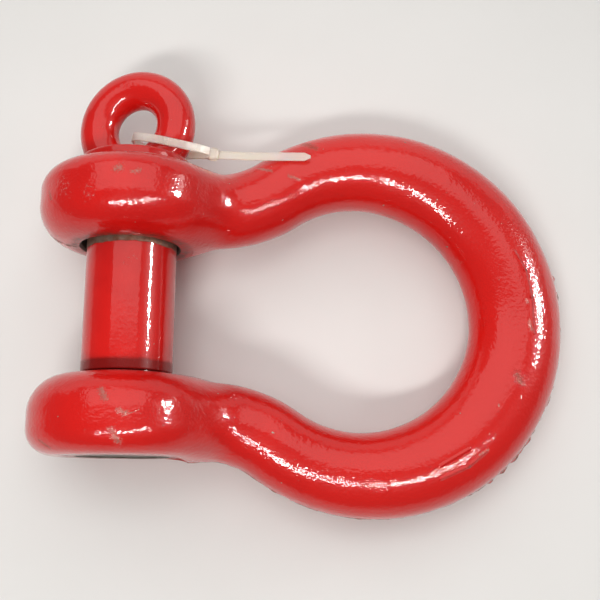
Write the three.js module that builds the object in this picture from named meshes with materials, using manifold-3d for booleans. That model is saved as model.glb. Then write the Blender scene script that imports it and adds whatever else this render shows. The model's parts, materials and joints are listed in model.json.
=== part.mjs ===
// Screw-pin anchor shackle for a 25 t working load, lying on a table.
// Millimetres. +Z is up from the table, +Y runs along the pin towards its eye,
// and +X runs from the pin towards the crown of the bow.

import * as THREE from 'three';
import { LoftGeometry } from 'three/addons/geometries/LoftGeometry.js';
import { RoundedBoxGeometry } from 'three/addons/geometries/RoundedBoxGeometry.js';
import { mergeVertices } from 'three/addons/utils/BufferGeometryUtils.js';
import Module from 'manifold-3d';

const wasm = await Module();
wasm.setup();

// Bow: one forging. Its spine is a straight run through each ear, a reverse arc, and the crown arc.
const jawWidth = 74;
const earThickness = 44;
const earRadius = 52.4;
const earOuterRounding = 14.5;
const earInnerRounding = 21;
const spotFaceRadius = 35;
const spotFaceDepth = 6;
const legSpineY = 61;
const legRadius = 22;
const legStartX = 10;
const straightEndX = 45.4;
const reverseRadius = 66.8;
const crownSpineRadius = 90.1;
const crownHalfThickness = 27.5;
const crownHalfDepth = 23.2;
const crownSwellSharpness = 1.4;
const earBlend = 7;

// Screw pin: one forging, 2 in nominal, with a 4.5 threads per inch end.
const pinRadius = 25.4;
const clearanceHoleRadius = 27.2;
const clearanceHoleShift = 1; // the seated pin lies towards the crown in its hole
const threadPitch = 25.4 / 4.5;
const threadCrestRadius = 24.9;
const threadRootRadius = 21.9;
const threadClearance = 0.5;
const threadColumns = 24;
const threadReliefRadius = 21.7;
const shankEndGap = 1.5;
const tipRecess = 1;
const tipChamfer = 2.6;
const collarRadius = 32;
const collarThickness = 7.4;
const collarRounding = 1.2;
const seatGap = 0.3;
const eyeRadius = 35.9;
const eyeHoleRadius = 13;
const eyeDepth = 21;
const eyeCentreY = 110.2;
const eyeTilt = THREE.MathUtils.degToRad(-14);

// Cable tie: a strap closed through its own head round one side of the eye.
const strapWidth = 4.8;
const strapThickness = 1.4;
const headLength = 6.6;
const headWidth = 7.6;
const headHeight = 6;
const headTurn = THREE.MathUtils.degToRad(-9);

const jawFaceY = jawWidth / 2;
const earFaceY = jawFaceY + earThickness;
const threadStartY = -earFaceY - 1.5 * threadPitch;
const threadTurns = Math.ceil(earThickness / threadPitch) + 2;
const enamel = { color: 0xc8211c, roughness: 0.28, metalness: 0 };
const nylon = { color: 0xe9e2cf, roughness: 0.45, metalness: 0 };

function meshOf(name, geometry, finish) {
  const mesh = new THREE.Mesh(geometry, new THREE.MeshStandardMaterial(finish));
  mesh.name = name;
  return mesh;
}

// A closed geometry as a solid that can be joined and cut.
function solidOf(geometry) {
  const bare = new THREE.BufferGeometry();
  bare.setAttribute('position', geometry.getAttribute('position'));
  bare.setIndex(geometry.getIndex());
  const merged = mergeVertices(bare, 1e-4);
  const vertProperties = merged.getAttribute('position').array;
  const triVerts = new Uint32Array(merged.getIndex().array);
  return new wasm.Manifold(new wasm.Mesh({ numProp: 3, vertProperties, triVerts }));
}

function geometryOf(solid) {
  const { vertProperties, triVerts } = solid.getMesh();
  const geometry = new THREE.BufferGeometry();
  geometry.setAttribute('position', new THREE.BufferAttribute(vertProperties, 3));
  geometry.setIndex(new THREE.BufferAttribute(triVerts, 1));
  geometry.computeVertexNormals();
  return geometry;
}

// A solid of revolution about the pin axis, from [radius, y] points that start and end on the axis.
function turned(profile) {
  const points = profile.map(([radius, y]) => new THREE.Vector2(radius, y));
  return solidOf(new THREE.LatheGeometry(points, 36));
}

// A screw about +Y: each row of vertices climbs the helix, and a turn ends where the next begins.
function screw(rootRadius, crestRadius) {
  const rootFlat = 0.25;
  const crestFlat = 0.125;
  const flank = (1 - rootFlat - crestFlat) / 2;
  const rowsPerTurn = 4;
  const columns = threadColumns;
  const rowPhase = [0, rootFlat, rootFlat + flank, rootFlat + flank + crestFlat];
  const rowRadius = [rootRadius, rootRadius, crestRadius, crestRadius];
  const rows = rowsPerTurn * threadTurns;
  const vertices = [];
  const indices = [];
  const at = (row, column) =>
    column === columns ? (row + rowsPerTurn) * columns : row * columns + column;
  for (let row = 0; row <= rows + rowsPerTurn; row++) {
    for (let column = 0; column < columns; column++) {
      const kind = row % rowsPerTurn;
      const turn = Math.floor(row / rowsPerTurn) + rowPhase[kind] + column / columns;
      const angle = (2 * Math.PI * column) / columns;
      const radius = rowRadius[kind];
      vertices.push(radius * Math.sin(angle), threadStartY + threadPitch * turn, radius * Math.cos(angle));
    }
  }
  const bottom = vertices.length / 3;
  const top = bottom + 1;
  vertices.push(0, threadStartY - threadPitch, 0);
  vertices.push(0, threadStartY + threadPitch * (threadTurns + 2), 0);
  for (let row = 0; row < rows; row++) {
    for (let column = 0; column < columns; column++) {
      const [a, b] = [at(row, column), at(row, column + 1)];
      const [c, d] = [at(row + 1, column + 1), at(row + 1, column)];
      indices.push(a, b, c, a, c, d);
    }
  }
  for (let column = 0; column < columns; column++) {
    indices.push(bottom, at(0, column + 1), at(0, column));
    indices.push(top, at(rows, column), at(rows, column + 1));
  }
  for (let row = 0; row < rowsPerTurn; row++) {
    indices.push(bottom, at(row, 0), at(row + 1, 0));
    indices.push(top, at(rows + row + 1, 0), at(rows + row, 0));
  }
  const geometry = new THREE.BufferGeometry();
  geometry.setAttribute('position', new THREE.Float32BufferAttribute(vertices, 3));
  geometry.setIndex(indices);
  return solidOf(geometry);
}

// The bow's spine in its own plane, from behind one ear round the crown to behind the other.
function spine() {
  const reach = crownSpineRadius + reverseRadius;
  const rise = legSpineY + reverseRadius;
  const crownX = straightEndX + Math.sqrt(reach ** 2 - rise ** 2);
  const join = Math.atan2(rise, crownX - straightEndX);
  const path = new THREE.Path();
  path.moveTo(-earRadius, legSpineY);
  path.lineTo(straightEndX, legSpineY);
  path.absarc(straightEndX, rise, reverseRadius, -Math.PI / 2, -join, false);
  path.absarc(crownX, 0, crownSpineRadius, Math.PI - join, join - Math.PI, true);
  path.absarc(straightEndX, -rise, reverseRadius, join, Math.PI / 2, false);
  path.lineTo(-earRadius, -legSpineY);
  return { path, crownX };
}

// Distance to the nearer ear: a disc about the pin axis, rounded more on the jaw side.
function earDistance(x, y, z) {
  const acrossEar = Math.abs(y) - (jawFaceY + earFaceY) / 2;
  const rounding = acrossEar > 0 ? earOuterRounding : earInnerRounding;
  const overRim = Math.hypot(x, z) - (earRadius - rounding);
  const overFace = Math.abs(acrossEar) - (earThickness / 2 - rounding);
  const outside = Math.hypot(Math.max(overRim, 0), Math.max(overFace, 0));
  return Math.min(Math.max(overRim, overFace), 0) + outside - rounding;
}

function blend(a, b, width) {
  const share = THREE.MathUtils.clamp(0.5 + (b - a) / (2 * width), 0, 1);
  return b + (a - b) * share - width * share * (1 - share);
}

// The section's reach from the spine, where the leg's round stock flows into the ear.
function sectionReach(centre, outward, angle, crownX) {
  const along = THREE.MathUtils.smoothstep(centre.x, straightEndX, crownX + crownSpineRadius);
  const swell = along ** crownSwellSharpness;
  const thickness = legRadius + (crownHalfThickness - legRadius) * swell;
  const depth = legRadius + (crownHalfDepth - legRadius) * swell;
  const [across, up] = [Math.cos(angle), Math.sin(angle)];
  const stock = 1 / Math.hypot(across / thickness, up / depth);
  const behindLeg = Math.min(centre.x - legStartX, 0);
  let [inside, outside] = [0.01, earRadius * 1.6];
  for (let halving = 0; halving < 24; halving++) {
    const reach = (inside + outside) / 2;
    const toLeg = Math.hypot(reach, behindLeg) - stock;
    const toEar = earDistance(
      centre.x + outward.x * across * reach, centre.y + outward.y * across * reach, up * reach);
    if (blend(toLeg, toEar, earBlend) < 0) inside = reach;
    else outside = reach;
  }
  return inside;
}

function bowBlank() {
  const { path, crownX } = spine();
  const length = path.getLength();
  const earShare = earRadius / length;
  const capSteps = 12;
  const runSteps = 44;
  const around = 24;
  const stations = [];
  for (let step = 0; step < capSteps; step++) {
    stations.push(earShare * (1 - Math.cos((Math.PI / 2) * (step + 0.4) / capSteps)));
  }
  for (let step = 0; step <= runSteps; step++) {
    stations.push(earShare + (1 - 2 * earShare) * (step / runSteps));
  }
  for (let step = capSteps - 1; step >= 0; step--) stations.push(1 - stations[step]);
  const sections = stations.map((share) => {
    const centre = path.getPoint(share);
    const tangent = path.getTangent(share);
    const outward = new THREE.Vector2(-tangent.y, tangent.x);
    const section = [];
    for (let step = 0; step < around; step++) {
      const turn = (2 * Math.PI * step) / around;
      const angle = turn + 0.2 * Math.sin(2 * turn);
      const reach = sectionReach(centre, outward, angle, crownX);
      const across = Math.cos(angle) * reach;
      section.push(new THREE.Vector3(
        centre.x + outward.x * across, centre.y + outward.y * across, Math.sin(angle) * reach));
    }
    return section;
  });
  return solidOf(new LoftGeometry(sections, { capStart: true, capEnd: true }));
}

// A flat-bottomed cut about the pin axis between two heights.
function disc(radius, fromY, toY) {
  return turned([[0, fromY], [radius, fromY], [radius, toY], [0, toY]]);
}

function bowSolid() {
  const past = 5;
  const spot = spotFaceRadius;
  const mouth = threadCrestRadius + threadClearance + 1.6;
  const lip = 1.2;
  const cone = 5;
  const cuts = [
    disc(clearanceHoleRadius, jawFaceY - past, earFaceY + past).translate([-clearanceHoleShift, 0, 0]),
    disc(spot, earFaceY, earFaceY + spotFaceDepth),
    disc(spot, jawFaceY - spotFaceDepth, jawFaceY),
    disc(spot, -jawFaceY, -jawFaceY + spotFaceDepth),
    disc(spot, -earFaceY - spotFaceDepth, -earFaceY),
    screw(threadRootRadius + threadClearance, threadCrestRadius + threadClearance)
      .rotate([0, -THREE.MathUtils.radToDeg(restingDip()), 0]),
    turned([[0, -jawFaceY - cone], [mouth - cone, -jawFaceY - cone], [mouth, -jawFaceY + lip],
      [0, -jawFaceY + lip]]),
    turned([[0, -earFaceY - lip], [mouth, -earFaceY - lip], [mouth - cone, -earFaceY + cone],
      [0, -earFaceY + cone]]),
  ];
  return cuts.reduce((bow, cut) => bow.subtract(cut), bowBlank());
}

function eyeSolid() {
  const stock = (eyeRadius - eyeHoleRadius) / 2;
  const ring = new THREE.TorusGeometry(eyeRadius - stock, stock, 12, 40);
  ring.scale(1, 1, eyeDepth / (2 * stock));
  ring.translate(0, eyeCentreY, 0);
  ring.rotateY(eyeTilt);
  const sunk = earFaceY + seatGap + collarThickness / 2;
  const below = new THREE.BoxGeometry(4 * eyeRadius, 2 * eyeRadius, 4 * eyeRadius);
  below.translate(0, sunk - eyeRadius, 0);
  return solidOf(ring).subtract(solidOf(below));
}

function pinSolid() {
  const collarY = earFaceY + seatGap;
  const shankEndY = -jawFaceY + shankEndGap;
  const tipY = -earFaceY + tipRecess;
  const edge = collarRounding;
  const body = turned([
    [0, shankEndY - 3], [threadReliefRadius, shankEndY - 3], [threadReliefRadius, shankEndY],
    [pinRadius - edge, shankEndY], [pinRadius, shankEndY + edge], [pinRadius, collarY],
    [collarRadius - edge, collarY], [collarRadius, collarY + edge],
    [collarRadius, collarY + collarThickness - edge],
    [collarRadius - edge, collarY + collarThickness], [0, collarY + collarThickness],
  ]);
  const envelope = turned([
    [0, tipY], [threadCrestRadius - tipChamfer, tipY], [threadCrestRadius + 1, tipY + tipChamfer + 1],
    [threadCrestRadius + 1, shankEndY - 4], [threadReliefRadius, shankEndY - 1], [0, shankEndY - 1],
  ]);
  const thread = screw(threadRootRadius, threadCrestRadius);
  return body.add(thread.intersect(envelope)).add(eyeSolid());
}

// The strap's route from its root in the head, over the eye, down through its hole,
// round under it, back through the head, and out along the bow's leg. The pin axis is z = 0.
const strapRoute = [
  [43.5, 94, 6.8], [39, 94.4, 9.6], [35, 94.2, 13], [30.5, 94, 16.2], [22, 95.7, 16.9], [13, 97.7, 16.6],
  [5, 99.4, 15], [0.4, 100.8, 11.4], [-0.8, 101.8, 5], [0.4, 102, -2], [3.6, 101.6, -6.6],
  [10, 100.6, -9.2], [19, 98.6, -9.2], [28, 96.6, -6.4], [36, 95.4, -2.4], [43, 94, 0.6], [49, 93, 3.4],
  [58, 92.2, 4.6], [70, 91.2, 6.2], [85, 90.1, 8.8], [95, 89.4, 10.4], [102.5, 89, 11.4],
].map((place) => new THREE.Vector3(...place));
const headPlace = [45.6, 93.6, 3.4];

function cableTieSolid() {
  const [halfWidth, halfThick] = [strapWidth / 2, strapThickness / 2];
  const section = new THREE.Shape([
    new THREE.Vector2(-halfWidth, -halfThick), new THREE.Vector2(halfWidth, -halfThick),
    new THREE.Vector2(halfWidth, halfThick), new THREE.Vector2(-halfWidth, halfThick),
  ]);
  const route = new THREE.CatmullRomCurve3(strapRoute);
  const strap = new THREE.ExtrudeGeometry(section, { steps: 72, extrudePath: route });
  const head = new RoundedBoxGeometry(headLength, headWidth, headHeight, 2, 1);
  head.rotateZ(headTurn);
  head.translate(...headPlace);
  return solidOf(strap).add(solidOf(head));
}

// The bow's plane dips from the pin to the crown until the crown rests on the table.
function restingDip() {
  return Math.asin((earRadius - crownHalfDepth) / (spine().crownX + crownSpineRadius));
}

const bow = meshOf('bow', geometryOf(bowSolid()), enamel);
bow.rotation.y = restingDip();
const screwPin = meshOf('screw_pin', geometryOf(pinSolid()), enamel);
const cableTie = meshOf('cable_tie', geometryOf(cableTieSolid()), nylon);

// The pieces are placed about the pin axis, then moved so that the origin is at the middle
// of the whole shackle's footprint, on the table.
const assembled = new THREE.Group();
assembled.add(bow, screwPin, cableTie);
const reach = new THREE.Box3().setFromObject(assembled, true);
const middle = reach.getCenter(new THREE.Vector3());
assembled.position.set(-middle.x, -middle.y, -reach.min.z);

const shackle = new THREE.Group();
shackle.add(assembled);

export default shackle;
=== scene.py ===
"""Looks of the screw-pin anchor shackle: a forged bow, its screw pin with a looped eye, and a cable tie."""

import json
import math

import bmesh
import bpy
import numpy as np
from mathutils import Matrix, Vector, noise


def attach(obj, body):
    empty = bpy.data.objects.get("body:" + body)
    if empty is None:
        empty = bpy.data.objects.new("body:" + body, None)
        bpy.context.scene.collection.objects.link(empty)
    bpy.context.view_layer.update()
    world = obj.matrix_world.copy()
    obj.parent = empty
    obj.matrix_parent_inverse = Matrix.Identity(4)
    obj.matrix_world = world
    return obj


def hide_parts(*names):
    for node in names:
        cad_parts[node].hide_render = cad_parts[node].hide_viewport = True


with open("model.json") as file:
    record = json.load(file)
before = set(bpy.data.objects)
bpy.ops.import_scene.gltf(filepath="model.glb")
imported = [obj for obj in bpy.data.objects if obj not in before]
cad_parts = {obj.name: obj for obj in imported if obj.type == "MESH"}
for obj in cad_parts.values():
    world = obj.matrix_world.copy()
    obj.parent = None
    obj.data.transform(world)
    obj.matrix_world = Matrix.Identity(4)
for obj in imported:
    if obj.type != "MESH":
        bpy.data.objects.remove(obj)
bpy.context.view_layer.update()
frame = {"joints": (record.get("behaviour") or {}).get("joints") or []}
MM = 0.001

# Frame: the pin axis runs along +Y through AXIS, whose y is the middle of the jaw.
TURN = next(joint for joint in frame["joints"] if joint["name"] == "pin_turn")
AXIS = Vector(TURN["pos_m"])

# Bow
JAW_FACE = 37 * MM
EAR_FACE = 81 * MM
EAR_RADIUS = 52.4 * MM
EAR_OUTER_ROUNDING = 14.5 * MM
EAR_INNER_ROUNDING = 21 * MM
EAR_BLEND = 7 * MM
SPOT_FACE_RADIUS = 35 * MM
LEG_Y = 61 * MM
LEG_RADIUS = 22 * MM
LEG_START_X = 10 * MM
STRAIGHT_END_X = 45.4 * MM
REVERSE_RADIUS = 66.8 * MM
CROWN_RADIUS = 90.1 * MM
CROWN_HALF_THICKNESS = 27.5 * MM
CROWN_HALF_DEPTH = 23.2 * MM
CROWN_SWELL_SHARPNESS = 1.4
FLASH_HALF_WIDTH = 1.7 * MM
FLASH_HEIGHT = 0.4 * MM
CROWN_FLASH_EXTRA = 0.95 * MM
CROWN_FLASH_START_X = 190 * MM
CROWN_FLASH_FULL_X = 220 * MM
FORGED_SINK = 0.2 * MM
CUT_PAST = 6 * MM
MOUTH_EDGE = 1.6 * MM
MOUTH_LIP = 1.2 * MM
MOUTH_CONE = 5 * MM

# Screw pin
PIN_RADIUS = 25.4 * MM
HOLE_RADIUS = 27.2 * MM
HOLE_SHIFT = 1 * MM
PITCH = 25.4 * MM / 4.5
CREST_RADIUS = 24.9 * MM
ROOT_RADIUS = 21.9 * MM
THREAD_CLEARANCE = 0.5 * MM
ROOT_FLAT = 0.25
CREST_FLAT = 0.125
RELIEF_RADIUS = 21.7 * MM
SHANK_END_GAP = 1.5 * MM
TIP_RECESS = 1 * MM
TIP_CHAMFER = 2.6 * MM
SEAT = EAR_FACE + 0.3 * MM
COLLAR_RADIUS = 32 * MM
COLLAR_THICKNESS = 7.4 * MM
EYE_RADIUS = 35.9 * MM
EYE_HOLE_RADIUS = 13 * MM
EYE_DEPTH = 21 * MM
EYE_Y = 110.2 * MM
EYE_TILT = math.radians(-14)

# Cable tie
STRAP_WIDTH = 4.8 * MM
STRAP_THICKNESS = 1.4 * MM
POINT_LENGTH = 3.6 * MM
TEETH_PITCH = 1.1 * MM
TOOTH_DEPTH = 0.3
PLAIN_TAIL = 22 * MM
PLAIN_START = 8 * MM
HEAD_SIZE = (7.4 * MM, 7.8 * MM, 5.8 * MM)
HEAD_ROUNDING = 2.6 * MM
HEAD_TURN = math.radians(-9)


# ---------------------------------------------------------------- mesh helpers

def new_object(name, vertices, faces, *materials):
    mesh = bpy.data.meshes.new(name)
    mesh.from_pydata([tuple(v) for v in vertices], [], faces)
    for material in materials:
        mesh.materials.append(material)
    piece = bpy.data.objects.new(name, mesh)
    bpy.context.scene.collection.objects.link(piece)
    return piece


def grid_faces(rows, columns):
    """Quads of a grid of rows, each a ring of columns points, with an end face on each open end."""
    faces = []
    for row in range(rows - 1):
        for column in range(columns):
            following = (column + 1) % columns
            a, b = row * columns + column, row * columns + following
            faces.append((a, b, b + columns, a + columns))
    faces.append(tuple(reversed(range(columns))))
    faces.append(tuple(range((rows - 1) * columns, rows * columns)))
    return faces


def outward(piece):
    mesh = bmesh.new()
    mesh.from_mesh(piece.data)
    bmesh.ops.recalc_face_normals(mesh, faces=mesh.faces)
    mesh.to_mesh(piece.data)
    mesh.free()
    return piece


def turned(name, profile, material, segments=144):
    """A solid of revolution about the pin axis, from (radius, y) points off the axis."""
    angles = np.linspace(0, 2 * math.pi, segments, endpoint=False)
    vertices = [(r * math.sin(a), y, r * math.cos(a)) for r, y in profile for a in angles]
    piece = new_object(name, vertices, grid_faces(len(profile), segments), material)
    piece.data.transform(Matrix.Translation(AXIS))
    return outward(piece)


def settle(piece, modifier):
    """Applies one modifier to the piece's mesh."""
    graph = bpy.context.evaluated_depsgraph_get()
    done = bpy.data.meshes.new_from_object(piece.evaluated_get(graph), depsgraph=graph)
    piece.modifiers.remove(modifier)
    old = piece.data
    piece.data = done
    done.name = piece.name
    bpy.data.meshes.remove(old)


def combine(piece, other, operation):
    """Cuts, joins or intersects the piece with other, which is used up and lends its material."""
    modifier = piece.modifiers.new("combine", "BOOLEAN")
    modifier.operation = operation
    modifier.solver = "EXACT"
    modifier.material_mode = "TRANSFER"
    modifier.object = other
    settle(piece, modifier)
    bpy.data.objects.remove(other)
    return piece


def joined(pieces):
    """One piece holding several closed shells that don't touch each other."""
    whole = bmesh.new()
    for piece in pieces:
        whole.from_mesh(piece.data)
    whole.to_mesh(pieces[0].data)
    whole.free()
    for piece in pieces[1:]:
        bpy.data.objects.remove(piece)
    return pieces[0]


def smooth_shaded(piece, sharp_degrees=38):
    piece.data.polygons.foreach_set("use_smooth", [True] * len(piece.data.polygons))
    piece.data.set_sharp_from_angle(angle=math.radians(sharp_degrees))
    return piece


def rounded_profile(corners, steps=6):
    """A (radius, y) profile whose corners (radius, y, rounding) are arcs."""
    points = []
    for i, (r, y, rounding) in enumerate(corners):
        here = Vector((r, y))
        if rounding == 0 or i in (0, len(corners) - 1):
            points.append((r, y))
            continue
        before = (Vector(corners[i - 1][:2]) - here).normalized()
        after = (Vector(corners[i + 1][:2]) - here).normalized()
        for step in range(steps + 1):
            t = step / steps
            start, end = here + before * rounding, here + after * rounding
            bent = start * (1 - t) ** 2 + here * 2 * t * (1 - t) + end * t ** 2
            points.append((bent.x, bent.y))
    return points


def screw(name, root, crest, material, columns=96):
    """A threaded rod about the pin axis: each row of vertices climbs the helix by one pitch a turn."""
    start = -EAR_FACE - 1.5 * PITCH
    turns = math.ceil((EAR_FACE - JAW_FACE) / PITCH) + 2
    flank = (1 - ROOT_FLAT - CREST_FLAT) / 2
    phases = [0, ROOT_FLAT, ROOT_FLAT + flank, ROOT_FLAT + flank + CREST_FLAT]
    radii = [root, root, crest, crest]
    vertices, faces = [], []
    for row in range(4 * turns + 5):
        for column in range(columns):
            angle = 2 * math.pi * column / columns
            climb = start + PITCH * (row // 4 + phases[row % 4] + column / columns)
            vertices.append((radii[row % 4] * math.sin(angle), climb, radii[row % 4] * math.cos(angle)))

    def at(row, column):
        return (row + 4) * columns if column == columns else row * columns + column

    last = 4 * turns
    for row in range(last):
        for column in range(columns):
            faces.append((at(row, column), at(row, column + 1), at(row + 1, column + 1), at(row + 1, column)))
    bottom, top = len(vertices), len(vertices) + 1
    vertices += [(0, start - PITCH, 0), (0, start + PITCH * (turns + 2), 0)]
    for column in range(columns):
        faces.append((bottom, at(0, column + 1), at(0, column)))
        faces.append((top, at(last, column), at(last, column + 1)))
    for row in range(4):
        faces.append((bottom, at(row, 0), at(row + 1, 0)))
        faces.append((top, at(last + row + 1, 0), at(last + row, 0)))
    piece = new_object(name, vertices, faces, material)
    piece.data.transform(Matrix.Translation(AXIS))
    return outward(piece)


# ---------------------------------------------------------------- bow

def spine(cap_steps, run_steps):
    """Points and outward normals of the bow's spine, from ear to ear, in its own plane.

    It starts and ends at the backs of the ears, where the first rows lie closer together.
    """
    rise = LEG_Y + REVERSE_RADIUS
    crown_x = crown_centre()
    join = math.atan2(rise, crown_x - STRAIGHT_END_X)
    straight = STRAIGHT_END_X
    bend = REVERSE_RADIUS * (math.pi / 2 - join)
    crown = CROWN_RADIUS * (math.pi - join)
    half = straight + bend + crown
    turn_to_side = 0.003 + 0.497 * np.linspace(0, 1, cap_steps, endpoint=False) ** 1.7
    cap = -EAR_RADIUS * np.cos(turn_to_side * math.pi)
    run = np.linspace(0, half, run_steps)
    points, normals = [], []
    for s in np.concatenate([cap, run]):
        if s <= straight:
            point, tangent = (s, LEG_Y), (1, 0)
        elif s <= straight + bend:
            turn = (s - straight) / REVERSE_RADIUS
            point = (straight + REVERSE_RADIUS * math.sin(turn), rise - REVERSE_RADIUS * math.cos(turn))
            tangent = (math.cos(turn), math.sin(turn))
        else:
            turn = math.pi - join - (s - straight - bend) / CROWN_RADIUS
            point = (crown_x + CROWN_RADIUS * math.cos(turn), CROWN_RADIUS * math.sin(turn))
            tangent = (math.sin(turn), -math.cos(turn))
        points.append(point)
        normals.append((-tangent[1], tangent[0]))
    points, normals = np.array(points), np.array(normals)
    mirror = np.array([1, -1])
    points = np.concatenate([points, points[-2::-1] * mirror])
    normals = np.concatenate([normals, normals[-2::-1] * mirror])
    return points, normals


def crown_centre():
    """Where the crown arc's centre lies on X, so that it meets the reverse arcs."""
    reach = CROWN_RADIUS + REVERSE_RADIUS
    rise = LEG_Y + REVERSE_RADIUS
    return STRAIGHT_END_X + math.sqrt(reach ** 2 - rise ** 2)


def resting_dip():
    """The bow's plane dips from the pin to the crown, which rests on the table."""
    return math.asin((AXIS.z - CROWN_HALF_DEPTH) / (crown_centre() + CROWN_RADIUS))


def ear_distance(x, y, z):
    """Distance to the nearer ear: a disc about the pin axis, rounded more on the jaw side."""
    across = np.abs(y) - (JAW_FACE + EAR_FACE) / 2
    rounding = np.where(across > 0, EAR_OUTER_ROUNDING, EAR_INNER_ROUNDING)
    over_rim = np.hypot(x, z) - (EAR_RADIUS - rounding)
    over_face = np.abs(across) - ((EAR_FACE - JAW_FACE) / 2 - rounding)
    outside = np.hypot(np.maximum(over_rim, 0), np.maximum(over_face, 0))
    return np.minimum(np.maximum(over_rim, over_face), 0) + outside - rounding


def blended(a, b, width):
    share = np.clip(0.5 + (b - a) / (2 * width), 0, 1)
    return b + (a - b) * share - width * share * (1 - share)


def forged_unevenness(place):
    """Hammer-scale waviness of a forged surface, in metres."""
    broad = noise.noise(place * 28) * 0.30
    fine = noise.noise(place * 95 + Vector((7, 3, 1))) * 0.07
    return (broad + fine) * MM


def reach_from_spine(points, normals, across, up):
    """How far the bow's surface lies from each spine point, along each direction in the section's plane."""
    crown_end = crown_centre() + CROWN_RADIUS
    along = np.clip((points[:, 0] - STRAIGHT_END_X) / (crown_end - STRAIGHT_END_X), 0, 1)
    swell = (along * along * (3 - 2 * along)) ** CROWN_SWELL_SHARPNESS
    thickness = (LEG_RADIUS + (CROWN_HALF_THICKNESS - LEG_RADIUS) * swell)[:, None]
    depth = (LEG_RADIUS + (CROWN_HALF_DEPTH - LEG_RADIUS) * swell)[:, None]
    stock = 1 / np.hypot(across / thickness, up / depth)
    behind = np.minimum(points[:, 0:1] - LEG_START_X, 0)
    blend = EAR_BLEND * (1 + 1.6 * up * up)
    # Halving the range 26 times finds the surface to far less than a micron.
    inside, outside = np.full(stock.shape, 1e-5), np.full(stock.shape, 1.6 * EAR_RADIUS)
    for _ in range(26):
        reach = (inside + outside) / 2
        to_leg = np.hypot(reach, behind) - stock
        to_ear = ear_distance(points[:, 0:1] + normals[:, 0:1] * across * reach,
                              points[:, 1:2] + normals[:, 1:2] * across * reach, up * reach)
        solid = blended(to_leg, to_ear, blend) < 0
        inside, outside = np.where(solid, reach, inside), np.where(solid, outside, reach)
    return inside


def bow_blank(enamel, around=120):
    """The solid forging, with its scale and its parting line but without holes or spot faces."""
    points, normals = spine(48, 230)
    turns = np.linspace(0, 2 * math.pi, around, endpoint=False)
    # The columns crowd towards the top and bottom, where the ears reach furthest from the spine.
    angles = turns + 0.2 * np.sin(2 * turns)
    across, up = np.cos(angles), np.sin(angles)
    reach = reach_from_spine(points, normals, across[None, :], up[None, :])
    vertices = []
    for (x, y), (nx, ny), reaches in zip(points, normals, reach):
        for side, rise, out in zip(across, up, reaches):
            ray = Vector((nx * side, ny * side, rise))
            place = Vector((x + nx * (side * out), y + ny * (side * out), rise * out))
            lift = forged_unevenness(place) - FORGED_SINK
            if x < 0:
                rim = Vector((place.x, 0, place.z)).normalized()
                place += rim * 0.5 * parting_line(place)
            elif side > 0:
                place += ray * parting_line(place)
            vertices.append(place + ray * lift)
    piece = new_object("bow_forging", vertices, grid_faces(len(points), around), enamel)
    piece.data.transform(Matrix.Translation(AXIS) @ Matrix.Rotation(resting_dip(), 4, "Y"))
    return outward(piece)


def parting_line(place):
    """The trimmed flash left where the forging dies met, proudest round the crown."""
    ridge = math.exp(-((place.z / FLASH_HALF_WIDTH) ** 2))
    stretch = 1 + 0.8 * noise.noise(place * 22)
    ragged = 0.8 + 0.9 * noise.noise(place * 150) + 0.7 * noise.noise(place * 340)
    into_crown = (place.x - CROWN_FLASH_START_X) / (CROWN_FLASH_FULL_X - CROWN_FLASH_START_X)
    height = FLASH_HEIGHT + CROWN_FLASH_EXTRA * min(max(into_crown, 0), 1)
    return height * ridge * stretch * max(ragged, 0.1)


def disc(name, radius, low, high, material):
    return turned(name, [(radius, low), (radius, high)], material)


def make_bow(enamel, steel):
    bow = bow_blank(enamel)
    spots = [(EAR_FACE, EAR_FACE + CUT_PAST), (JAW_FACE - CUT_PAST, JAW_FACE),
             (-JAW_FACE, -JAW_FACE + CUT_PAST), (-EAR_FACE - CUT_PAST, -EAR_FACE)]
    faces = joined([disc("spot", SPOT_FACE_RADIUS, low, high, enamel) for low, high in spots])
    combine(bow, faces, "DIFFERENCE")
    tapped = screw("tapped", ROOT_RADIUS + THREAD_CLEARANCE, CREST_RADIUS + THREAD_CLEARANCE, steel)
    combine(bow, joined([clearance_hole(steel), tapped]), "DIFFERENCE")
    combine(bow, tapped_mouths(steel), "DIFFERENCE")
    smooth_shaded(bow)
    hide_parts("bow")
    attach(bow, "bow")
    return bow


def tapped_mouths(steel):
    """Cones that break the thread's edge at both mouths of the tapped hole."""
    mouth = CREST_RADIUS + THREAD_CLEARANCE + MOUTH_EDGE
    cones = []
    for face, outward_sign in ((-JAW_FACE, 1), (-EAR_FACE, -1)):
        narrow_end = (mouth - MOUTH_CONE, face - outward_sign * MOUTH_CONE)
        wide_end = (mouth, face + outward_sign * MOUTH_LIP)
        cones.append(turned("mouth", [narrow_end, wide_end], steel))
    return joined(cones)


def clearance_hole(steel):
    """What is bored out of the plain ear, flared at both mouths; the bore sits a little behind the pin."""
    mouth = HOLE_RADIUS + MOUTH_EDGE
    lip_rounding, bore_rounding = 0.3 * MM, 1 * MM
    hole = turned("hole", rounded_profile([
        (mouth + CUT_PAST, JAW_FACE - CUT_PAST, 0),
        (mouth, JAW_FACE, lip_rounding),
        (HOLE_RADIUS, JAW_FACE + MOUTH_EDGE, bore_rounding),
        (HOLE_RADIUS, EAR_FACE - MOUTH_EDGE, bore_rounding),
        (mouth, EAR_FACE, lip_rounding),
        (mouth + CUT_PAST, EAR_FACE + CUT_PAST, 0),
    ]), steel)
    hole.data.transform(Matrix.Translation((-HOLE_SHIFT, 0, 0)))
    return hole


# ---------------------------------------------------------------- screw pin

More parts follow.
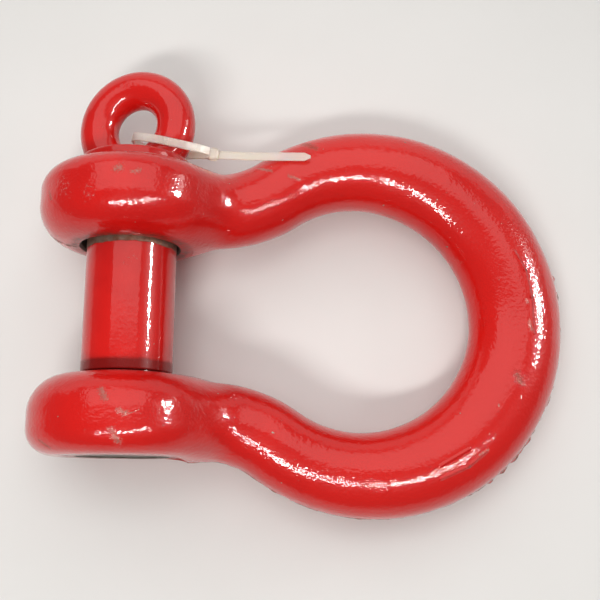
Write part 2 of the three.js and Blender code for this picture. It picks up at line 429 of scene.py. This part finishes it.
def make_eye(enamel):
    """The looped eye with the collar under it, grown together with a fillet."""
    stock = (EYE_RADIUS - EYE_HOLE_RADIUS) / 2
    middle = EYE_RADIUS - stock
    flatness = EYE_DEPTH / (2 * stock)
    long, short = 120, 48
    vertices, faces = [], []
    for i in range(long):
        a = 2 * math.pi * i / long
        for j in range(short):
            b = 2 * math.pi * j / short
            out = middle + stock * math.cos(b)
            vertices.append((out * math.cos(a), EYE_Y + out * math.sin(a), stock * flatness * math.sin(b)))
            faces.append((i * short + j, (i + 1) % long * short + j,
                          (i + 1) % long * short + (j + 1) % short, i * short + (j + 1) % short))
    eye = new_object("eye", vertices, faces, enamel)
    eye.data.transform(Matrix.Translation(AXIS) @ Matrix.Rotation(EYE_TILT, 4, "Y"))
    outward(eye)
    below = disc("below", 2 * EYE_RADIUS, SEAT - 2 * EYE_RADIUS, SEAT + COLLAR_THICKNESS * 0.5, enamel)
    combine(eye, below, "DIFFERENCE")
    edge = 1.2 * MM
    collar = turned("collar", rounded_profile([
        (PIN_RADIUS, SEAT, 0), (COLLAR_RADIUS, SEAT, edge),
        (COLLAR_RADIUS, SEAT + COLLAR_THICKNESS, edge), (EYE_HOLE_RADIUS, SEAT + COLLAR_THICKNESS, 0),
    ]), enamel)
    combine(eye, collar, "UNION")
    remesh = eye.modifiers.new("grow", "REMESH")
    remesh.mode = "VOXEL"
    remesh.voxel_size = 0.75 * MM
    settle(eye, remesh)
    soften = eye.modifiers.new("fillet", "SMOOTH")
    soften.factor = 0.5
    soften.iterations = 6
    settle(eye, soften)
    places = [vertex.co + vertex.normal * forged_unevenness(vertex.co) * 0.8 for vertex in eye.data.vertices]
    eye.data.vertices.foreach_set("co", [number for place in places for number in place])
    return eye


def make_pin(enamel, steel):
    tip = -EAR_FACE + TIP_RECESS
    shank_end = -JAW_FACE + SHANK_END_GAP
    overlap = 3 * MM
    slack = 1 * MM
    pin = turned("screw_pin_forging", rounded_profile([
        (RELIEF_RADIUS, shank_end - overlap, 0), (RELIEF_RADIUS, shank_end, 0.4 * MM),
        (PIN_RADIUS, shank_end, 1 * MM), (PIN_RADIUS, SEAT + COLLAR_THICKNESS * 0.5, 0),
    ]), enamel)
    thread = screw("thread", ROOT_RADIUS, CREST_RADIUS, steel)
    envelope = turned("envelope", [
        (CREST_RADIUS - TIP_CHAMFER, tip), (CREST_RADIUS + slack, tip + TIP_CHAMFER + slack),
        (CREST_RADIUS + slack, shank_end - overlap - slack), (RELIEF_RADIUS, shank_end - slack),
    ], steel)
    combine(thread, envelope, "INTERSECT")
    combine(pin, thread, "UNION")
    combine(pin, make_eye(enamel), "UNION")
    smooth_shaded(pin)
    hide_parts("screw_pin")
    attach(pin, "pin")
    return pin


# ---------------------------------------------------------------- cable tie

# The strap's route about the pin axis: over the eye, down through its hole, round, and out along the bow.
STRAP_ROUTE = [Vector(place) * MM for place in (
    (43.5, 94, 6.8), (39, 94.4, 9.6), (35, 94.2, 13), (30.5, 94, 16.2), (22, 95.7, 16.9), (13, 97.7, 16.6),
    (5, 99.4, 15), (0.4, 100.8, 11.4), (-0.8, 101.8, 5), (0.4, 102, -2), (3.6, 101.6, -6.6),
    (10, 100.6, -9.2), (19, 98.6, -9.2), (28, 96.6, -6.4), (36, 95.4, -2.4), (43, 94, 0.6), (49, 93, 3.4),
    (58, 92.2, 4.6), (70, 91.2, 6.2), (85, 90.1, 8.8), (95, 89.4, 10.4), (102.5, 89, 11.4),
)]
HEAD_PLACE = Vector((45.6, 93.6, 3.4)) * MM

# The strap's section, with a rib along each edge, in half widths across and half thicknesses through.
STRAP_SECTION = [(1, -0.55), (1, 0.55), (0.86, 1), (0.6, 1), (0.55, 0.72), (-0.55, 0.72), (-0.6, 1),
                 (-0.86, 1), (-1, 0.55), (-1, -0.55), (-0.86, -1), (-0.5, -1), (0.5, -1), (0.86, -1)]


def along_route(points, steps):
    """Catmull-Rom points along the route, evenly spaced, and its length."""
    dense = []
    for i in range(len(points) - 1):
        before, start = points[max(i - 1, 0)], points[i]
        end, after = points[i + 1], points[min(i + 2, len(points) - 1)]
        for step in range(16):
            t = step / 16
            dense.append(0.5 * (2 * start + (end - before) * t
                                + (2 * before - 5 * start + 4 * end - after) * t ** 2
                                + (3 * start - before - 3 * end + after) * t ** 3))
    dense.append(points[-1])
    lengths = np.concatenate([[0], np.cumsum([(b - a).length for a, b in zip(dense, dense[1:])])])
    places = []
    for s in np.linspace(0, lengths[-1], steps):
        i = min(int(np.searchsorted(lengths, s, side="right")) - 1, len(dense) - 2)
        t = (s - lengths[i]) / (lengths[i + 1] - lengths[i])
        places.append(dense[i].lerp(dense[i + 1], t))
    return places, lengths[-1]


def make_tie(nylon):
    """The strap, with a row of teeth on one face and a pointed tail, and its head."""
    steps = 700
    places, length = along_route(STRAP_ROUTE, steps)
    half_width, half_thick = STRAP_WIDTH / 2, STRAP_THICKNESS / 2
    upright = Vector((0.15, 1, 0))
    vertices = []
    for i, place in enumerate(places):
        tangent = (places[min(i + 1, steps - 1)] - places[max(i - 1, 0)]).normalized()
        across = (upright - tangent * upright.dot(tangent)).normalized()
        normal = tangent.cross(across).normalized()
        to_tip = length * (1 - i / (steps - 1))
        from_start = length - to_tip
        narrow = min(1, 0.3 + 0.7 * to_tip / POINT_LENGTH)
        toothed = to_tip > PLAIN_TAIL and from_start > PLAIN_START
        tooth = TOOTH_DEPTH * ((from_start / TEETH_PITCH) % 1) if toothed else 0.0
        for u, v in STRAP_SECTION:
            drop = tooth * half_thick if abs(u) <= 0.5 and v < 0 else 0
            sideways, through = across * (u * half_width * narrow), normal * (v * half_thick + drop)
            vertices.append(AXIS + place + sideways + through)
    tie = new_object("cable_tie_strap", vertices, grid_faces(steps, len(STRAP_SECTION)), nylon)
    outward(tie)
    combine(tie, tie_head(nylon), "UNION")
    smooth_shaded(tie, 30)
    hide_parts("cable_tie")
    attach(tie, "tie")
    return tie


def tie_head(nylon):
    mesh = bmesh.new()
    bmesh.ops.create_cube(mesh, size=1)
    bmesh.ops.scale(mesh, vec=HEAD_SIZE, verts=mesh.verts)
    bmesh.ops.bevel(mesh, geom=mesh.edges[:], offset=HEAD_ROUNDING, segments=6, profile=0.5, affect="EDGES")
    data = bpy.data.meshes.new("head")
    mesh.to_mesh(data)
    mesh.free()
    data.materials.append(nylon)
    head = bpy.data.objects.new("head", data)
    bpy.context.scene.collection.objects.link(head)
    data.transform(Matrix.Translation(AXIS + HEAD_PLACE) @ Matrix.Rotation(HEAD_TURN, 4, "Z"))
    return head


# ---------------------------------------------------------------- materials

# Noise scales are in cells to the metre, and bump distances in metres.

class Nodes:
    """Short calls that add nodes to a material."""

    def __init__(self, name):
        self.material = bpy.data.materials.new(name)
        self.material.use_nodes = True
        self.tree = self.material.node_tree
        self.tree.nodes.clear()
        self.output = self.add("ShaderNodeOutputMaterial")
        self.shader = self.add("ShaderNodeBsdfPrincipled")
        self.link(self.shader.outputs[0], self.output.inputs[0])
        self.place = self.add("ShaderNodeTexCoord").outputs["Object"]
        split = self.add("ShaderNodeSeparateXYZ")
        self.link(self.place, split.inputs[0])
        self.x, self.y, self.z = split.outputs

    def add(self, kind, **settings):
        node = self.tree.nodes.new(kind)
        for key, value in settings.items():
            setattr(node, key, value)
        return node

    def link(self, source, target):
        self.tree.links.new(source, target)

    def feed(self, target, value):
        if isinstance(value, bpy.types.NodeSocket):
            self.link(value, target)
        else:
            target.default_value = value

    def math(self, operation, a, b=0.0, clamp=False):
        node = self.add("ShaderNodeMath", operation=operation, use_clamp=clamp)
        self.feed(node.inputs[0], a)
        self.feed(node.inputs[1], b)
        return node.outputs[0]

    def noise(self, scale, detail=3.0, roughness=0.55, place=None):
        node = self.add("ShaderNodeTexNoise")
        self.link(place or self.place, node.inputs["Vector"])
        node.inputs["Scale"].default_value = scale
        node.inputs["Detail"].default_value = detail
        node.inputs["Roughness"].default_value = roughness
        return node.outputs["Fac"]

    def ramp(self, value, low, high, start=0.0, end=1.0):
        node = self.add("ShaderNodeMapRange")
        self.feed(node.inputs["Value"], value)
        for key, number in (("From Min", low), ("From Max", high), ("To Min", start), ("To Max", end)):
            node.inputs[key].default_value = number
        return node.outputs[0]

    def mix(self, share, a, b):
        node = self.add("ShaderNodeMix", data_type="RGBA")
        self.feed(node.inputs["Factor"], share)
        self.feed(node.inputs["A"], a)
        self.feed(node.inputs["B"], b)
        return node.outputs["Result"]

    def bump(self, height, strength, distance, under=None):
        node = self.add("ShaderNodeBump")
        self.link(height, node.inputs["Height"])
        node.inputs["Strength"].default_value = strength
        node.inputs["Distance"].default_value = distance
        if under is not None:
            self.link(under, node.inputs["Normal"])
        return node.outputs["Normal"]

    def length(self, across, along):
        square = self.math("ADD", self.math("MULTIPLY", across, across), self.math("MULTIPLY", along, along))
        return self.math("SQRT", square)

    def near_line(self, start, end):
        """Distance, seen from above, to the line between two (x, y) points in mm from the pin axis."""
        start = AXIS + Vector((*start, 0)) * MM
        run = AXIS + Vector((*end, 0)) * MM - start
        reach = max(run.length, 1e-6)
        run = run / reach
        across = self.math("SUBTRACT", self.x, start.x)
        along = self.math("SUBTRACT", self.y, start.y)
        share = self.math("ADD", self.math("MULTIPLY", across, run.x), self.math("MULTIPLY", along, run.y))
        share = self.math("MINIMUM", self.math("MAXIMUM", share, 0.0), reach)
        return self.length(self.math("SUBTRACT", across, self.math("MULTIPLY", share, run.x)),
                           self.math("SUBTRACT", along, self.math("MULTIPLY", share, run.y)))

    def most(self, values):
        top = 0.0
        for value in values:
            top = self.math("MAXIMUM", top, value)
        return top


def mark(start, end, width, ragged=1.3):
    """A worn place on the upper side, along a line between two (x, y) points in mm from the pin axis."""
    def cover(n):
        closeness = n.ramp(n.near_line(start, end), width * MM, 0.0)
        rough = n.math("MULTIPLY", n.math("SUBTRACT", n.noise(900, 5, 0.75), 0.5), ragged * 2)
        shown = n.ramp(n.math("ADD", closeness, rough), 0.40, 1.0, 0.0, 0.6)
        return n.math("MULTIPLY", shown, n.ramp(n.z, AXIS.z - 12 * MM, AXIS.z - 10 * MM))
    return cover


def rgb(r, g, b):
    return (r, g, b, 1)


RED, DEEP_RED, BRIGHT_RED = rgb(0.58, 0.007, 0.005), rgb(0.50, 0.005, 0.004), rgb(0.62, 0.009, 0.006)
# The second colour here is dirt and painted shade round the ears' holes, and the third is painted shade at
# the shank's foot.
GRIME, SPOT_FACE_DIRT_AND_SHADE, FOOT_SHADE_RED = rgb(0.22, 0.03, 0.02), rgb(0.13, 0.035, 0.025), rgb(0.17, 0.006, 0.005)
DARK_SCUFF, PALE_SCUFF = rgb(0.22, 0.15, 0.12), rgb(0.36, 0.27, 0.23)
PALE_RUST, DARK_RUST = rgb(0.24, 0.10, 0.06), rgb(0.15, 0.05, 0.03)


def scuffs(n):
    """Patches of fine grey specks where the enamel has been rubbed, all over the part."""
    patch = n.ramp(n.noise(38, 2, 0.5), 0.68, 0.76, 0.0, 0.7)
    return n.math("MULTIPLY", patch, n.ramp(n.noise(700, 5, 0.75), 0.56, 0.66))


def flash_chips(n):
    """Paint knocked off the sharp parting line, in short dark stretches."""
    dip = resting_dip()
    rise = n.math("ADD", n.math("MULTIPLY", n.math("SUBTRACT", n.x, AXIS.x), math.sin(dip)),
                  n.math("MULTIPLY", n.math("SUBTRACT", n.z, AXIS.z), math.cos(dip)))
    along = n.math("DIVIDE", n.math("SUBTRACT", n.x, AXIS.x + 80 * MM), 1.6)
    outer = n.ramp(n.length(along, n.math("SUBTRACT", n.y, AXIS.y)), 76 * MM, 80 * MM)
    on_ridge = n.ramp(n.math("ABSOLUTE", rise), 2.2 * MM, 1.4 * MM)
    close = n.math("MULTIPLY", outer, on_ridge)
    long_stretches = n.ramp(n.noise(22, 1), 0.41, 0.44)
    chips = n.ramp(n.noise(260, 3, 0.7), 0.48, 0.53)
    return n.math("MULTIPLY", close, n.math("MULTIPLY", long_stretches, chips))


def collar_grime_and_shade(n):
    """Dirt and painted shade round the collar and the holes of both ears: a ring that darkens the spot faces
    towards the pin axis, broken up by noise.
    """
    from_axis = n.length(n.math("SUBTRACT", n.x, AXIS.x), n.math("SUBTRACT", n.z, AXIS.z))
    ring = n.ramp(from_axis, SPOT_FACE_RADIUS + 1.5 * MM, SPOT_FACE_RADIUS - 2.5 * MM)
    return n.math("MULTIPLY", ring, n.ramp(n.noise(260, 4, 0.7), 0.42, 0.6, 0.25, 0.9))


def bare_band(n):
    """The unpainted stretch of the shank just inside the jaw, next to the plain ear."""
    wander = n.math("MULTIPLY", n.math("SUBTRACT", n.noise(120, 3), 0.5), 3 * MM)
    height = n.math("ADD", n.y, wander)
    low, high = AXIS.y + JAW_FACE - 2.2 * MM, AXIS.y + JAW_FACE + 12 * MM
    feather = 0.2 * MM
    inner = n.ramp(height, low - feather, low + feather)
    outer = n.ramp(height, high + feather, high - feather)
    return n.math("MULTIPLY", inner, outer)


def band_stain(n):
    """Rust and old oil over most of the bare stretch."""
    return n.math("MULTIPLY", bare_band(n), n.ramp(n.noise(210, 4, 0.7), 0.35, 0.6, 0.35, 0.95))


def shank_foot_shade(n):
    """Painted shade that darkens the shank where it enters the tapped ear, next to the ear's jaw face."""
    low = AXIS.y - JAW_FACE
    wander = n.math("MULTIPLY", n.math("SUBTRACT", n.noise(90, 3), 0.5), 2 * MM)
    return n.ramp(n.math("ADD", n.y, wander), low + 8.2 * MM, low + 6.6 * MM, 0.0, 0.8)


def make_enamel(name, bare=(), brown=(), dirt_and_shade_covers=(), dirt_and_shade_colour=SPOT_FACE_DIRT_AND_SHADE, scores=(), pitted=(), grain=1.0):
    """Gloss red enamel with orange peel, grime, dirt and painted shade under the given covers, rubbed places
    down to grey steel and brown rusty ones.
    """
    n = Nodes(name)
    red = n.mix(n.ramp(n.noise(35, 3), 0.35, 0.65), RED, DEEP_RED)
    red = n.mix(n.ramp(n.noise(9, 2), 0.4, 0.7), red, BRIGHT_RED)
    grime = n.ramp(n.noise(160, 5, 0.7), 0.66, 0.76, 0.0, 0.35)
    red = n.mix(grime, red, GRIME)
    # Dirt and painted shade: the given covers pull the enamel towards a darker colour.
    dirt_and_shade = n.most(cover(n) for cover in dirt_and_shade_covers)
    red = n.mix(dirt_and_shade, red, dirt_and_shade_colour)
    steel = n.mix(n.ramp(n.noise(420, 4), 0.35, 0.65), DARK_SCUFF, PALE_SCUFF)
    rust = n.mix(n.ramp(n.noise(500, 4), 0.35, 0.65), PALE_RUST, DARK_RUST)
    specks = n.ramp(n.noise(230, 2, 0.5), 0.765, 0.775)
    rubbed = n.most([specks] + [cover(n) for cover in bare])
    rusty = n.most(cover(n) for cover in brown)
    worn = n.math("MAXIMUM", rubbed, rusty)
    dull = n.math("MAXIMUM", worn, n.math("MULTIPLY", dirt_and_shade, 0.7))
    n.link(n.mix(rusty, n.mix(rubbed, red, steel), rust), n.shader.inputs["Base Color"])
    n.link(n.ramp(worn, 0, 1, 0.34, 0.55), n.shader.inputs["Roughness"])
    n.link(n.ramp(rubbed, 0, 1, 0.0, 0.5), n.shader.inputs["Metallic"])
    n.link(n.ramp(dull, 0, 1, 0.9, 0.0), n.shader.inputs["Coat Weight"])
    n.shader.inputs["Specular IOR Level"].default_value = 0.1
    n.shader.inputs["Coat Roughness"].default_value = 0.035
    n.shader.inputs["IOR"].default_value = 1.5
    normal = None
    for cells, height in ((170, 0.12 * MM), (460, 0.16 * MM), (900, 0.06 * MM)):
        normal = n.bump(n.noise(cells, 1, 0.5), grain, height, normal)
    for start, end, width in pitted:
        rough = n.ramp(n.near_line(start, end), width * MM, 0.5 * width * MM)
        normal = n.bump(n.math("MULTIPLY", n.noise(700, 1, 0.5), rough), 1.0, 0.18 * MM, normal)
    for start, end in scores:
        normal = n.bump(n.ramp(n.near_line(start, end), 1.3 * MM, 0.0), 1.0, 0.7 * MM, normal)
    normal = n.bump(n.math("SUBTRACT", 1.0, worn), 0.6, 0.3 * MM, normal)
    n.link(normal, n.shader.inputs["Normal"])
    n.link(normal, n.shader.inputs["Coat Normal"])
    return n.material


def make_steel():
    """Bare machined steel inside the holes and on the thread, dull with old oil."""
    n = Nodes("bare_steel")
    colour = n.mix(n.ramp(n.noise(140, 4), 0.35, 0.7), rgb(0.17, 0.155, 0.14), rgb(0.085, 0.065, 0.05))
    n.link(colour, n.shader.inputs["Base Color"])
    n.shader.inputs["Metallic"].default_value = 0.85
    n.link(n.ramp(n.noise(90, 3), 0.3, 0.7, 0.35, 0.6), n.shader.inputs["Roughness"])
    n.link(n.bump(n.noise(1200, 3), 0.3, 0.3 * MM), n.shader.inputs["Normal"])
    return n.material


def make_nylon():
    """Natural nylon: milky and slightly yellow, with a soft sheen."""
    n = Nodes("natural_nylon")
    colour = n.mix(n.ramp(n.noise(60, 3), 0.35, 0.65), rgb(0.88, 0.84, 0.74), rgb(0.93, 0.90, 0.84))
    n.link(colour, n.shader.inputs["Base Color"])
    n.shader.inputs["Subsurface Weight"].default_value = 0.35
    n.shader.inputs["Subsurface Radius"].default_value = (0.004, 0.003, 0.002)
    n.shader.inputs["Subsurface Scale"].default_value = 1.0
    n.shader.inputs["Transmission Weight"].default_value = 0.6
    n.link(n.ramp(n.noise(300, 2), 0.3, 0.7, 0.32, 0.46), n.shader.inputs["Roughness"])
    n.link(n.bump(n.noise(900, 2), 0.15, 0.3 * MM), n.shader.inputs["Normal"])
    return n.material


# ---------------------------------------------------------------- stage, lights and camera

def make_floor():
    size = 3.0
    floor = new_object("table_top", [(-size, -size, 0), (size, -size, 0), (size, size, 0), (-size, size, 0)],
                       [(0, 1, 2, 3)])
    n = Nodes("pale_table")
    colour = n.mix(n.ramp(n.noise(6, 4), 0.3, 0.7), rgb(0.69, 0.695, 0.69), rgb(0.72, 0.725, 0.722))
    n.link(colour, n.shader.inputs["Base Color"])
    n.shader.inputs["Roughness"].default_value = 0.6
    floor.data.materials.append(n.material)


def area_light(name, centre, right, up, glow, colour, soft=0.0):
    """A rectangular light spanned by two vectors about its centre, facing the object.

    Glow is its radiance, and soft the share of its height over which it fades out at both ends.
    """
    centre, right, up = Vector(centre), Vector(right), Vector(up)
    data = bpy.data.lights.new(name, "AREA")
    data.shape = "RECTANGLE"
    data.size, data.size_y = right.length, up.length
    data.energy = 4 * glow * right.length * up.length
    data.color = colour
    light = bpy.data.objects.new(name, data)
    bpy.context.scene.collection.objects.link(light)
    facing = right.cross(up).normalized()
    if facing.dot(centre) < 0:
        facing = -facing
    across = right.normalized()
    turn = Matrix((across, facing.cross(across), facing)).transposed()
    light.matrix_world = Matrix.Translation(centre) @ turn.to_4x4()
    light.visible_camera = False
    if soft:
        fade_ends(data, soft)
    return light


def fade_ends(data, share):
    """Dims an area light smoothly towards the two ends of its height."""
    data.use_nodes = True
    tree = data.node_tree
    split = tree.nodes.new("ShaderNodeSeparateXYZ")
    tree.links.new(tree.nodes.new("ShaderNodeNewGeometry").outputs["Parametric"], split.inputs[0])
    glow = tree.nodes.new("ShaderNodeMath")
    glow.operation = "MULTIPLY"
    for slot, (dark, bright) in enumerate(((0, share), (1, 1 - share))):
        end = tree.nodes.new("ShaderNodeMapRange")
        end.interpolation_type = "SMOOTHSTEP"
        end.inputs["From Min"].default_value = dark
        end.inputs["From Max"].default_value = bright
        tree.links.new(split.outputs["Y"], end.inputs["Value"])
        tree.links.new(end.outputs[0], glow.inputs[slot])
    tree.links.new(glow.outputs[0], tree.nodes["Emission"].inputs["Strength"])


WARM, NEAR_WHITE = (1, 0.97, 0.93), (1, 0.98, 0.95)


def make_lights():
    """A soft room: a broad ceiling and far wall, strip lights in front and a window on the right.

    The two thin bright strips only draw glints, and the overhead fill only lights and never glints.
    """
    world = bpy.data.worlds.new("room")
    world.use_nodes = True
    world.node_tree.nodes["Background"].inputs["Color"].default_value = (1.0, 0.95, 0.92, 1)
    world.node_tree.nodes["Background"].inputs["Strength"].default_value = 0.18
    bpy.context.scene.world = world
    area_light("ceiling", (-0.15, 1.0, 1.7), (2.7, 0, 0), (0, -1.9, 1.1), 1.0, (1, 0.97, 0.94), soft=0.16)
    area_light("far_wall", (0, 1.9, 0.5), (6, 0, 0), (0, 0, 1.0), 0.5, (1, 0.96, 0.93))
    area_light("lamp", (-0.38, -1.22, 1.8), (0.76, 0.24, 0), (0, 0.17, 0.11), 34, WARM)
    tube = area_light("tube", (0.75, -0.94, 1.9), (1.6, 0.5, 0), (0, 0.05, 0.035), 85, WARM)
    area_light("window", (1.64, 0.78, 0.76), (-0.10, 0.24, 0), (-0.20, 0.0, 0.40), 4.0, NEAR_WHITE)
    glint = area_light("window_bar", (1.57, 0.36, 0.99), (0, 0.42, 0), (-0.07, 0.0, 0.11), 150, NEAR_WHITE)
    tube.visible_diffuse = glint.visible_diffuse = False
    fill = area_light("overhead", (-0.07, -0.02, 0.6), (0.3, 0, 0), (0, 0.3, 0), 3.0, NEAR_WHITE)
    fill.visible_glossy = False


CAMERA_TILT = math.radians(12.2)
CAMERA_TURN = math.radians(-0.78)
CAMERA_ROLL = math.radians(-0.57)
CAMERA_DISTANCE = 0.5568
CAMERA_LENS = 53.15
AIM_FROM_PIN = Vector((96.5 * MM, 18.6 * MM, 0))


def make_camera():
    """The view from above, tipped a little towards the tapped ear."""
    data = bpy.data.cameras.new("camera")
    data.sensor_width = 36
    data.lens = CAMERA_LENS
    data.clip_start = 0.01
    camera = bpy.data.objects.new("camera", data)
    bpy.context.scene.collection.objects.link(camera)
    aim = Vector((AXIS.x, AXIS.y, 0)) + AIM_FROM_PIN
    turn = Matrix.Rotation(-CAMERA_TURN, 4, "Z")
    tilt = Matrix.Rotation(CAMERA_TILT, 4, "X")
    roll = Matrix.Rotation(CAMERA_ROLL, 4, "Z")
    back = Matrix.Translation((0, 0, CAMERA_DISTANCE))
    camera.matrix_world = Matrix.Translation(aim) @ turn @ tilt @ back @ roll
    bpy.context.scene.camera = camera


# ---------------------------------------------------------------- the scene

# Wear on the upper side, in mm from the pin axis: lines between two (x, y) places, and their widths.
BOW_SCUFFS = [mark(*ends, width) for ends, width in (
    (((0, 66), (2, 67)), 4.2), (((9, 65), (12, 66)), 2.8), (((72, 84), (80, 81)), 2),
    (((90, 78), (96, 76)), 2), (((-2, -50), (0, -54)), 3.6), (((7, -60), (11, -61)), 2.8),
    (((4, -70), (7, -75)), 3.6), (((227, 8), (227, 9)), 2.2), (((228, -3), (229, -8)), 2.4),
    (((196, -79), (201, -76)), 1.6), (((9, -63), (17, -59.5)), 0.7), (((221, -46), (221, -47)), 1.1),
    (((208, -51), (208, -52)), 1.1),
)]
BOW_RUST = [mark(*ends, width) for ends, width in (
    (((99, 101), (105, 97)), 4.2), (((219, -34), (221, -38)), 4.6), (((-40, 60), (-38, 55)), 1.6),
    (((-36, -74), (-30, -78)), 1.4),
)]

# Bands of coarser orange peel, with their widths, and fine raised scores.
BOW_PITS = [((231, 46), (239, -8), 9), ((65, -71), (77, -80), 5), ((97, -88), (142, -97), 6),
            ((66, 56), (107, 71), 3)]
BOW_SCORES = [((221, 38), (227, 27)), ((227, 27), (230, 11)), ((230, 11), (230, -10)),
              ((174, -85), (190, -76)), ((174, -92), (190, -85)), ((190, -85), (200, -77))]


def make_all():
    make_camera()
    make_floor()
    make_lights()
    # The bow's darkening cover is dirt and painted shade round the holes; the pin's is painted shade at the
    # shank's foot.
    bow_enamel = make_enamel("red_enamel_bow", BOW_SCUFFS + [scuffs], BOW_RUST + [flash_chips],
                             [collar_grime_and_shade], scores=BOW_SCORES, pitted=BOW_PITS)
    pin_enamel = make_enamel("red_enamel_pin", [bare_band, scuffs], [band_stain], [shank_foot_shade], FOOT_SHADE_RED,
                             grain=0.35)
    steel = make_steel()
    make_bow(bow_enamel, steel)
    make_pin(pin_enamel, steel)
    make_tie(make_nylon())
    bpy.context.scene.view_settings.view_transform = "Standard"


make_all()
bpy.context.view_layer.update()
